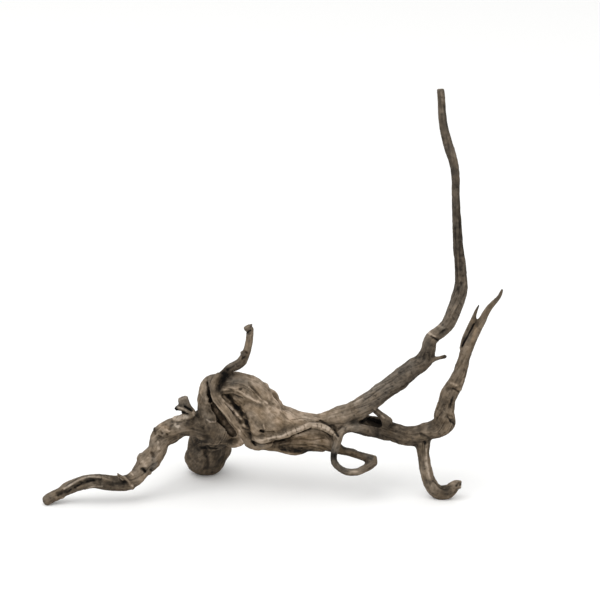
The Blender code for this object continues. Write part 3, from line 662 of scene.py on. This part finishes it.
def even(size: float) -> Triple:
    """Return the swells in metres of noise that is the same every way, from a size in millimetres."""
    return size * MM, size * MM, size * MM


def drawn(across: float, along: float) -> Triple:
    """Return the swells in metres of noise that is drawn out along the fibres, from sizes in millimetres."""
    return across * MM, across * MM, along * MM


class Pattern(Enum):
    """The patterns of noise: the seed that each is drawn from, and the way from one swell to the next."""

    FURROW = (1, drawn(5.5, 50))
    RIDGE = (2, drawn(2.8, 26))
    # Real fibres are about 0.1 mm wide: they are drawn coarser, because so fine a pattern wouldn't show
    FIBRE = (3, drawn(1.6, 14))
    LUMP = (4, even(9))
    KNOBBLE = (5, even(3.6))
    CRACK_LINE = (21, drawn(7, 75))
    CRACK_PLACE = (22, drawn(15, 40))
    PIT = (31, even(3.4))
    MARK_EDGE = (41, even(2.2))
    TONE_PATCH = (42, even(7))
    TONE_SPOT = (43, even(3))
    TONE_STREAK = (44, drawn(2.6, 24))
    WARM_PATCH = (45, even(13))
    WARM_SPOT = (46, even(5))


SLOPE_COUNT = 4096  # a power of two, so that one mask picks a slope
CELL_MIX = (73856093, 19349663, 83492791)  # large primes, which mix a cell's three numbers into one
NOISE_GAIN = 1.6  # brings the noise to about -1 to 1


def noise_at(places: np.ndarray, pattern: Pattern) -> np.ndarray:
    """Sample smooth noise.

    Args:
        places: rows of three coordinates in metres.
        pattern: which noise.

    Returns:
        One value from about -1 to 1 for each place.
    """
    seed, swells = pattern.value
    slopes = np.random.default_rng(seed).normal(size=(SLOPE_COUNT, 3))
    slopes /= np.linalg.norm(slopes, axis=1)[:, None]
    scaled = places / np.array(swells)
    cell = np.floor(scaled).astype(np.int64)
    within = scaled - cell
    fade = within**3 * (within * (within * 6 - 15) + 10)
    total = np.zeros(len(places))
    for corner in ((i, j, k) for i in (0, 1) for j in (0, 1) for k in (0, 1)):
        spot = (cell + corner) * CELL_MIX
        slope = slopes[(spot[:, 0] ^ spot[:, 1] ^ spot[:, 2]) & (SLOPE_COUNT - 1)]
        share = np.where(np.array(corner) == 1, fade, 1 - fade).prod(axis=1)
        total += share * (slope * (within - corner)).sum(axis=1)
    return total * NOISE_GAIN


@dataclass(frozen=True)
class Wear:
    """How deep each trace of growth and weather is, and how much of the wood it takes."""

    furrow_depth: float = 0.45 * MM
    furrow_width: float = 0.25
    ridge_depth: float = 0.3 * MM
    ridge_level: float = 0.4
    fibre_depth: float = 0.16 * MM
    lump_height: float = 0.5 * MM
    knobble_height: float = 0.26 * MM
    pit_depth: float = 0.4 * MM
    pit_slope: float = 3.2
    pit_rarity: float = 1.1
    crack_depth: float = 0.5 * MM
    crack_slope: float = 3.5
    crack_rarity: float = 0.1
    crack_width: float = 0.09
    full_radius: float = 11.0 * MM  # of the limbs that have all of it
    thin_share: float = 0.3  # what the thinnest limbs have
    foot_film: float = 0.3 * MM  # the height of the feet's flat soles
    foot_band: float = 1.2 * MM  # over which it sets in above them


@dataclass(frozen=True)
class Shades:
    """How much each cause lightens, darkens, warms or cools the wood, painted light and shade among them."""

    mark: float = 0.8
    edge_level: float = 0.85
    edge_swing: float = 0.55
    top: float = 0.22  # painted light and shade with dust: lighter where faces look up, darker where they look down
    patch: float = 0.2
    spot: float = 0.16
    streak: float = 0.16
    # Painted shade: how much darker the drying cracks and the worn pits are
    crack_shade: float = 0.25
    pit_shade: float = 0.35
    # Painted light: faces that look up or left are cooler, as lit by the sky, and faces that look right warmer,
    # as in shade
    painted_cool_light_top: float = 0.25
    painted_warm_shade_right: float = 0.1
    warm_patch: float = 0.4
    warm_spot: float = 0.3
    relief_depth: float = 0.22 * MM  # of the fine relief that counts as fully proud or sunken: paler ridges, partly painted highlight, and painted shade in crevices
    hollow_shade_depth: float = 1.4 * MM  # of the broad hollows that get the full painted shade


@dataclass
class Skin:
    """The finished wood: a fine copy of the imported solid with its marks, fibres and cracks."""

    node: str = "driftwood"
    seam: float = 0.01 * MM
    grid: float = 0.72 * MM
    triangles: int = 196000
    ease_in: float = 0.62
    ease_out: float = -0.64  # a little more than it went in, so that the limbs stay as thick
    even_turns: int = 6
    blur: float = 0.6
    near_turns: int = 8
    far_turns: int = 60
    mark_step: float = 0.6  # millimetres along a mark from one look to the next
    wear: Wear = Wear()
    shades: Shades = Shades()
    fibres: Fibres = field(default_factory=lambda: Fibres(ROUTES))

    def build(self) -> Object:
        """Make the finished piece.

        Returns:
            The piece, which main puts on its body in the node's stead.
        """
        piece = self._copied()
        self._refined(piece)
        self._pushed(piece)
        self._marked(piece)
        self._weathered(piece)
        applied(piece, "DECIMATE", ratio=min(1.0, self.triangles / (2 * len(piece.data.polygons))))
        self._kept_in(piece)
        self._noted(piece)
        for face in piece.data.polygons:
            face.use_smooth = True
        return piece

    def _copied(self) -> Object:
        """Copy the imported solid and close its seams."""
        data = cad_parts[self.node].data.copy()
        data.name = "driftwood_skin"
        data.materials.clear()
        piece = bpy.data.objects.new("driftwood_skin", data)
        bpy.context.scene.collection.objects.link(piece)
        bpy.ops.object.select_all(action="DESELECT")
        bpy.context.view_layer.objects.active = piece
        piece.select_set(True)
        bpy.ops.object.mode_set(mode="EDIT")
        bpy.ops.mesh.select_all(action="SELECT")
        bpy.ops.mesh.remove_doubles(threshold=self.seam)
        bpy.ops.object.mode_set(mode="OBJECT")
        return piece

    def _refined(self, piece: Object) -> None:
        """Give the piece a fine even mesh and ease its facets away without shrinking it."""
        applied(piece, "REMESH", mode="VOXEL", voxel_size=self.grid)
        points = points_of(piece)
        edges = edges_of(piece)
        for _ in range(self.even_turns):
            points = eased(points, edges, self.ease_in, 1)
            points = eased(points, edges, self.ease_out, 1)
        move_points(piece, points)

    def _pulls(self, piece: Object, marks: tuple[Mark, ...]) -> list[dict[int, float]]:
        """Find the points that each mark reaches.

        Args:
            piece: the wood.
            marks: marks in the front view.

        Returns:
            For each mark, how strongly it reaches each point, from 0 to 1.
        """
        mesh = bmesh.new()
        mesh.from_mesh(piece.data)
        tree = BVHTree.FromBMesh(mesh)
        mesh.free()
        near = KDTree(len(piece.data.vertices))
        for index, vertex in enumerate(piece.data.vertices):
            near.insert(vertex.co, index)
        near.balance()
        found = []
        for mark in marks:
            pulls: dict[int, float] = {}
            for (x0, y0, w0), (x1, y1, w1) in zip(mark.path, mark.path[1:]):
                steps = max(1, round(math.hypot(x1 - x0, y1 - y0) / self.mark_step))
                for step in range(steps + 1):
                    t = step / steps
                    way = (seen_at(x0 + (x1 - x0) * t, y0 + (y1 - y0) * t, 0) - EYE).normalized()
                    hit = tree.ray_cast(EYE, way)[0]
                    width = (w0 + (w1 - w0) * t) * MM
                    if hit is None:
                        continue
                    for _, index, distance in near.find_range(hit, width):
                        pull = (1 + math.cos(math.pi * distance / width)) / 2
                        pulls[index] = max(pulls.get(index, 0), pull)
            found.append(pulls)
        return found

    def _pushed(self, piece: Object) -> None:
        """Push the outline in or out where the limbs' ends leave it lumpy or square."""
        points = points_of(piece)
        for push in PUSHES:
            distance = np.linalg.norm(points - np.array(seen_at(*push.middle)), axis=1)
            share = (1 + np.cos(math.pi * np.clip(distance / (push.reach * MM), 0, 1))) / 2
            points = points + share[:, None] * np.array(push.way) * MM
        move_points(piece, points)

    def _marked(self, piece: Object) -> None:
        """Raise and sink the marks of the front view."""
        marks = tuple(mark for mark in MARKS if mark.rise)
        points = points_of(piece)
        normals = normals_of(piece)
        moves = np.zeros(len(points))
        for mark, pulls in zip(marks, self._pulls(piece, marks)):
            if pulls:
                moves[list(pulls)] += np.array(list(pulls.values())) * mark.rise * MM
        move_points(piece, points + normals * moves[:, None])

    def _cracks(self, places: np.ndarray) -> np.ndarray:
        """Find the drying cracks, which run with the fibres: 0 outside them, 1 in their middle."""
        wander = noise_at(places, Pattern.CRACK_LINE)
        rarity = noise_at(places, Pattern.CRACK_PLACE) * self.wear.crack_slope - self.wear.crack_rarity
        return np.clip(1 - np.abs(wander) / self.wear.crack_width, 0, 1) * np.clip(rarity, 0, 1)

    def _pits(self, points: np.ndarray) -> np.ndarray:
        """Find the small worn pits: 0 outside them, 1 in their middle."""
        return np.clip(noise_at(points, Pattern.PIT) * self.wear.pit_slope - self.wear.pit_rarity, 0, 1)

    def _weathered(self, piece: Object) -> None:
        """Work furrows, ridges, fibres, lumps, pits and cracks into the wood, less so on thin limbs.

        Args:
            piece: the wood, already marked.
        """
        wear = self.wear
        points = points_of(piece)
        normals = normals_of(piece)
        places, traits = self.fibres.read(points)
        size = np.clip(traits[:, 0] / wear.full_radius, wear.thin_share, 1.0)
        strength = size * traits[:, 3]
        furrow = -np.maximum(0, 1 - np.abs(noise_at(places, Pattern.FURROW)) / wear.furrow_width)
        ridge = wear.ridge_level - np.abs(noise_at(places, Pattern.RIDGE))
        rise = (
            furrow * wear.furrow_depth * strength
            + ridge * wear.ridge_depth * strength
            + noise_at(places, Pattern.FIBRE) * wear.fibre_depth * np.sqrt(strength)
            + noise_at(points, Pattern.LUMP) * wear.lump_height * size
            + noise_at(points, Pattern.KNOBBLE) * wear.knobble_height * np.sqrt(size)
            - self._pits(points) * wear.pit_depth * strength
            - self._cracks(places) * wear.crack_depth * size
        )
        rise *= np.clip((points[:, 2] - wear.foot_film) / wear.foot_band, 0, 1)
        move_points(piece, points + normals * rise[:, None])

    def _kept_in(self, piece: Object) -> None:
        """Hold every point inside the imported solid's box, which keeps the feet flat on the floor."""
        low, high = (np.array(corner) for corner in CAD_BOX)
        move_points(piece, np.clip(points_of(piece), low, high))

    def _noted(self, piece: Object) -> None:
        """Write down on the skin what its material reads: grain, tone, warmth, relief and the painted shade of
        broad hollows.

        Args:
            piece: the finished wood.
        """
        shades = self.shades
        points = points_of(piece)
        normals = normals_of(piece)
        edges = edges_of(piece)
        places, traits = self.fibres.read(points)
        _, tone, warmth, rough = traits.T.astype(float)
        ragged = shades.edge_level + shades.edge_swing * noise_at(points, Pattern.MARK_EDGE)
        # The marks add their tones, painted shade in pits and grooves and painted highlights among them
        for mark, pulls in zip(MARKS, self._pulls(piece, MARKS)):
            if pulls:
                reached = list(pulls)
                shares = np.array(list(pulls.values()))
                tone[reached] += shares * mark.tone * ragged[reached] * shades.mark
                warmth[reached] += shares * mark.warmth
        # How far each point stands above or below its near surroundings: ridges paler, partly wear and partly
        # painted highlight, crevices darker as painted shade
        close = ((points - eased(points, edges, self.blur, self.near_turns)) * normals).sum(axis=1)
        # How far each point lies below its wider surroundings, which sets the painted shade of broad hollows
        broad = ((points - eased(points, edges, self.blur, self.far_turns)) * normals).sum(axis=1)
        # Painted light and shade with dust: faces that look up are lighter, faces that look down darker
        tone += shades.top * normals[:, 2]
        tone += shades.patch * noise_at(points, Pattern.TONE_PATCH)
        tone += shades.spot * noise_at(points, Pattern.TONE_SPOT)
        tone += shades.streak * noise_at(places, Pattern.TONE_STREAK)
        # Painted shade in the drying cracks and the worn pits
        tone -= shades.crack_shade * self._cracks(places) + shades.pit_shade * self._pits(points) * rough
        # Painted light: cooler where faces look up or left, warmer where they look right, as in shade
        warmth -= shades.painted_cool_light_top * normals[:, 2] - shades.painted_warm_shade_right * normals[:, 0]
        warmth += shades.warm_patch * noise_at(points, Pattern.WARM_PATCH)
        warmth += shades.warm_spot * noise_at(points, Pattern.WARM_SPOT)
        self._keep(piece, "grain", places)
        self._keep(piece, "tone", tone)
        self._keep(piece, "warmth", warmth)
        # Paler ridges, partly wear and partly painted highlight, and painted shade in the crevices
        self._keep(piece, "relief", np.clip(close / shades.relief_depth, -1, 1))
        # Painted shade: darker in the broad hollows
        self._keep(piece, "hollow_shade", np.clip(-broad / shades.hollow_shade_depth, -1, 1))

    def _keep(self, piece: Object, name: str, values: np.ndarray) -> None:
        """Keep one value or one vector for each point as a named attribute."""
        if values.ndim == 1:
            layer = piece.data.attributes.new(name, "FLOAT", "POINT")
            layer.data.foreach_set("value", values.astype(np.float32))
        else:
            layer = piece.data.attributes.new(name, "FLOAT_VECTOR", "POINT")
            layer.data.foreach_set("vector", values.astype(np.float32).ravel())


@dataclass(frozen=True)
class Nodes:
    """A material's node tree, and the few ways in which the wood's nodes are added to it."""

    tree: NodeTree

    def add(self, kind: str, links: dict[str | int, object] | None = None, **settings: object) -> Node:
        """Add one node with its inputs and its settings.

        Args:
            kind: the node's type.
            links: for each input by name or number, a socket to link from or a value to set.
            settings: the node's own properties.

        Returns:
            The new node.
        """
        made = self.tree.nodes.new(kind)
        for name, value in settings.items():
            setattr(made, name, value)
        for name, value in (links or {}).items():
            if isinstance(value, NodeSocket):
                self.tree.links.new(value, made.inputs[name])
            else:
                made.inputs[name].default_value = value
        return made

    def read(self, name: str, socket: str = "Fac") -> NodeSocket:
        """Add a node that reads one of the skin's attributes."""
        return self.add("ShaderNodeAttribute", attribute_name=name).outputs[socket]

    def noise(self, place: NodeSocket, scale: float, detail: float, rough: float) -> NodeSocket:
        """Add a noise texture, which swings round 0.5."""
        values = {"Vector": place, "Scale": scale, "Detail": detail, "Roughness": rough}
        return self.add("ShaderNodeTexNoise", values).outputs["Fac"]

    def plus(
        self, start: NodeSocket | float, value: NodeSocket, weight: float, middle: float = 0.0
    ) -> NodeSocket:
        """Add nodes for the start plus the weighted distance of a value from its middle."""
        values = {0: value, 1: weight, 2: -weight * middle}
        scaled = self.add("ShaderNodeMath", values, operation="MULTIPLY_ADD").outputs[0]
        return self.add("ShaderNodeMath", {0: start, 1: scaled}, operation="ADD").outputs[0]

    def ramp(self, factor: NodeSocket, stops: tuple[float, ...], codes: tuple[str, ...]) -> NodeSocket:
        """Add a colour ramp with these colours at these stops."""
        made = self.add("ShaderNodeValToRGB", {"Fac": factor})
        elements = made.color_ramp.elements
        while len(elements) < len(codes):
            elements.new(0.5)
        for element, place, code in zip(elements, stops, codes):
            element.position = place
            element.color = linear(code)
        return made.outputs["Color"]


@dataclass(frozen=True)
class WeatheredWood:
    """Driftwood, worn by water and dried in the sun: matt, dusty and fibrous.

    The eye gets a dull brown with painted shade in every crevice, a pale edge on every ridge that is partly
    wear and partly painted highlight, and fine streaks along the fibres with no shine. Both ramps go from the
    nearly black of the painted shade in cracks to the bleached wood of the edges, and each share is how far its
    cause moves the wood along them.
    """

    stops: tuple[float, ...] = (0.05, 0.28, 0.5, 0.74, 0.95)
    cool: tuple[str, ...] = ("#0E0C0A", "#2E2B27", "#504A43", "#766D62", "#A69B8E")
    warm: tuple[str, ...] = ("#0E0C0A", "#372D21", "#5C4D3B", "#88755F", "#B39D87")
    level: float = 0.48
    tone_share: float = 0.42
    # paler ridges, partly wear and partly painted highlight, and painted shade in crevices
    relief_light_shade_and_wear_share: float = 0.07
    # painted shade in the broad hollows
    hollow_shade_share: float = -0.14
    # Real fibres and pores are about a tenth as wide: they are drawn coarser, or they wouldn't show
    fibre_width: float = 1.1 * MM
    fibre_length: float = 14.0 * MM
    fibre_share: float = 0.3
    blotch: float = 11.0 * MM
    blotch_share: float = 0.3
    speck: float = 0.9 * MM
    speck_share: float = 0.2
    fibre_bump: float = 0.6
    speck_bump: float = 0.4
    bump_strength: float = 0.45
    bump_depth: float = 0.5 * MM
    roughness: float = 0.88
    shine: float = 0.1

    def make(self) -> Material:
        """Make the material.

        Returns:
            The weathered wood.
        """
        surface = bpy.data.materials.new("weathered_wood")
        surface.use_nodes = True
        surface.node_tree.nodes.clear()
        nodes = Nodes(surface.node_tree)
        place = nodes.add("ShaderNodeTexCoord").outputs["Object"]
        stretch = (1 / self.fibre_width, 1 / self.fibre_width, 1 / self.fibre_length)
        along = {"Vector": nodes.read("grain", "Vector"), "Scale": stretch}
        grain = nodes.add("ShaderNodeMapping", along).outputs["Vector"]
        fibre = nodes.noise(grain, scale=1.0, detail=3.0, rough=0.6)
        blotch = nodes.noise(place, scale=1 / self.blotch, detail=3.0, rough=0.55)
        speck = nodes.noise(place, scale=1 / self.speck, detail=2.0, rough=0.7)
        level = nodes.plus(self.level, nodes.read("tone"), self.tone_share)
        level = nodes.plus(level, fibre, self.fibre_share, middle=0.5)
        level = nodes.plus(level, blotch, self.blotch_share, middle=0.5)
        level = nodes.plus(level, speck, self.speck_share, middle=0.5)
        # Paler ridges, partly wear and partly painted highlight, and painted shade in the crevices
        level = nodes.plus(level, nodes.read("relief"), self.relief_light_shade_and_wear_share)
        # Painted shade in the broad hollows
        level = nodes.plus(level, nodes.read("hollow_shade"), self.hollow_shade_share)
        reach = {"Value": nodes.read("warmth"), "From Min": -1.0, "From Max": 1.0}
        share = nodes.add("ShaderNodeMapRange", reach).outputs["Result"]
        # A mix of colours takes its share at 0 and its colours at 6 and 7, and gives the mixed one at 2
        cool = nodes.ramp(level, self.stops, self.cool)
        warm = nodes.ramp(level, self.stops, self.warm)
        mixed = {0: share, 6: cool, 7: warm}
        colour = nodes.add("ShaderNodeMix", mixed, data_type="RGBA").outputs[2]
        height = nodes.plus(0.0, fibre, self.fibre_bump)
        height = nodes.plus(height, speck, self.speck_bump)
        relief = {"Height": height, "Strength": self.bump_strength, "Distance": self.bump_depth}
        finish = {
            "Base Color": colour,
            "Roughness": self.roughness,
            "Specular IOR Level": self.shine,
            "Normal": nodes.add("ShaderNodeBump", relief).outputs["Normal"],
        }
        shader = nodes.add("ShaderNodeBsdfPrincipled", finish)
        nodes.add("ShaderNodeOutputMaterial", {"Surface": shader.outputs[0]})
        return surface


@dataclass(frozen=True)
class PaleFloor:
    """Seamless studio board, matt and nearly white."""

    colour: str = "#FBFBFA"
    roughness: float = 0.9

    def make(self) -> Material:
        """Make the material."""
        surface = bpy.data.materials.new("studio_board")
        surface.use_nodes = True
        shader = surface.node_tree.nodes["Principled BSDF"]
        shader.inputs["Base Color"].default_value = linear(self.colour)
        shader.inputs["Roughness"].default_value = self.roughness
        return surface


@dataclass(frozen=True)
class SoftLight:
    """A square of soft light: where it hangs, how wide it is in metres and how strong in watts."""

    name: str
    place: Triple
    width: float
    power: float

    def build(self, aim: Triple) -> None:
        """Hang the light so that it faces a place."""
        data = bpy.data.lights.new(self.name, "AREA")
        data.size = self.width
        data.energy = self.power
        lamp = bpy.data.objects.new(self.name, data)
        lamp.location = self.place
        lamp.rotation_euler = (Vector(aim) - Vector(self.place)).to_track_quat("-Z", "Y").to_euler()
        bpy.context.scene.collection.objects.link(lamp)


@dataclass(frozen=True)
class Studio:
    """A pale floor, soft light and the camera that sees the wood from the front."""

    floor_width: float = 9.0
    floor_sides: int = 96
    world_strength: float = 0.88
    key: SoftLight = SoftLight("key_light", (-1.6, -1.2, 3.6), 3.2, 68.0)
    fill: SoftLight = SoftLight("fill_light", (1.5, -0.8, 1.2), 1.6, 5.0)
    aim: Triple = (0, 0, 0.1)
    lens: float = SENSOR_WIDTH * EYE_DISTANCE / VIEW_WIDTH
    nearest: float = 0.05
    farthest: float = 50.0

    def build(self) -> None:
        """Set up the floor, the lights and the camera."""
        self._floor()
        self._world()
        self.key.build(self.aim)
        self.fill.build(self.aim)
        self._camera()

    def _floor(self) -> None:
        """Lay the floor."""
        bpy.ops.object.select_all(action="DESELECT")
        bpy.ops.mesh.primitive_circle_add(
            vertices=self.floor_sides, radius=self.floor_width / 2, fill_type="NGON"
        )
        floor = bpy.context.object
        floor.name = "studio_floor"
        bpy.ops.object.mode_set(mode="EDIT")
        bpy.ops.mesh.select_all(action="SELECT")
        bpy.ops.mesh.inset(thickness=self.floor_width / 4)
        bpy.ops.object.mode_set(mode="OBJECT")
        floor.data.materials.append(PaleFloor().make())

    def _world(self) -> None:
        """Surround the floor with even white light."""
        world = bpy.data.worlds.new("studio_light")
        world.use_nodes = True
        sky = world.node_tree.nodes["Background"]
        sky.inputs["Color"].default_value = (1, 1, 1, 1)
        sky.inputs["Strength"].default_value = self.world_strength
        bpy.context.scene.world = world

    def _camera(self) -> None:
        """Stand the camera where the front view is seen from."""
        data = bpy.data.cameras.new("front_view")
        data.sensor_width = SENSOR_WIDTH
        data.lens = self.lens
        data.clip_start = self.nearest
        data.clip_end = self.farthest
        camera = bpy.data.objects.new("front_view", data)
        camera.location = EYE
        camera.rotation_euler = FORWARD.to_track_quat("-Z", "Y").to_euler()
        bpy.context.scene.collection.objects.link(camera)
        bpy.context.scene.camera = camera
        # The board is meant to come out white, and the wood in its own colours
        bpy.context.scene.view_settings.view_transform = "Standard"


def main() -> None:
    """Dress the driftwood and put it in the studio."""
    logging.basicConfig(level=logging.INFO, format="%(name)s: %(message)s")
    skin = Skin()
    wood = skin.build()
    wood.data.materials.append(WeatheredWood().make())
    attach(wood, "root")
    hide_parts(skin.node)
    log.info("%s: %d faces", wood.name, len(wood.data.polygons))
    Studio().build()


if __name__ == "__main__":
    main()
